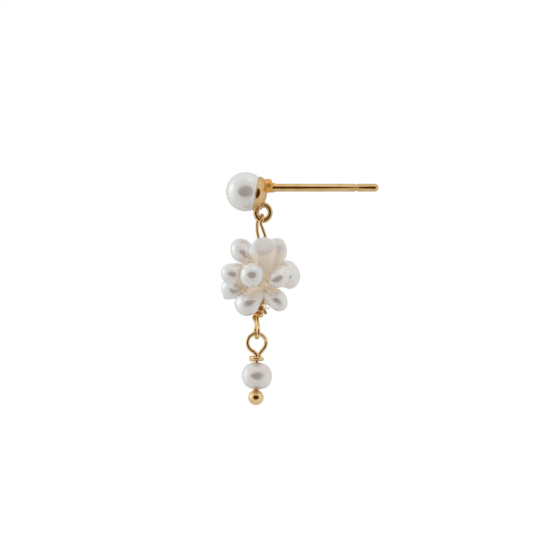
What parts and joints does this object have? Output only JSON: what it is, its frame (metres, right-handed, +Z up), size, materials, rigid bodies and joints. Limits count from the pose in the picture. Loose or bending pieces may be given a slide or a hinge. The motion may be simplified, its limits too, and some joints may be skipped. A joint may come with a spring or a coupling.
{
  "type": "cluster earring",
  "caption": "Pierced-ear drop earring: pearl stud with post and soldered ring, a ball cluster of small pearls on a gold wire, and a pearl charm on a head pin.",
  "frame": {"origin": "on the post's axis, at the back face of its boss, where it sits against the front of the ear lobe", "axes": "+X along the post, from the stud pearl to the post's tip; +Z up, with the drop hanging below; the drop's plane is XZ and -Y is the side the picture shows"},
  "size_m": [0.0161, 0.008, 0.0238],
  "materials": {
    "gold": "polished gold plate",
    "pearl": "white nacre with a soft satin shine",
    "thread": "fine clear cream thread"
  },
  "bodies": {
    "stud": {"ear_post": "gold", "stud_pearl": "pearl"},
    "drop": {"core_wire": "gold", "stringing_thread": "thread", "pearl_core": "pearl", "pearl_low_front_left": "pearl", "pearl_low_front_right": "pearl", "pearl_low_back_right": "pearl", "pearl_low_back_left": "pearl", "pearl_mid_left_behind": "pearl", "pearl_mid_left": "pearl", "pearl_mid_front": "pearl", "pearl_mid_front_right": "pearl", "pearl_mid_right": "pearl", "pearl_mid_back_right": "pearl", "pearl_mid_back_left": "pearl", "pearl_top_left": "pearl", "pearl_top_twin": "pearl", "pearl_top_right": "pearl", "pearl_top_back": "pearl"},
    "charm": {"head_pin": "gold", "charm_pearl": "pearl"}
  },
  "joints": [
    {"name": "drop_swing", "type": "hinge", "parent": "stud", "child": "drop", "pos_m": [-0.0013, 0, -0.00327], "axis": [0.9063, 0, -0.4226], "range_deg": [-60, 60]},
    {"name": "charm_swing", "type": "hinge", "parent": "drop", "child": "charm", "pos_m": [-0.00163, 0, -0.01533], "axis": [0, 1, 0], "range_deg": [-60, 60]}
  ]
}
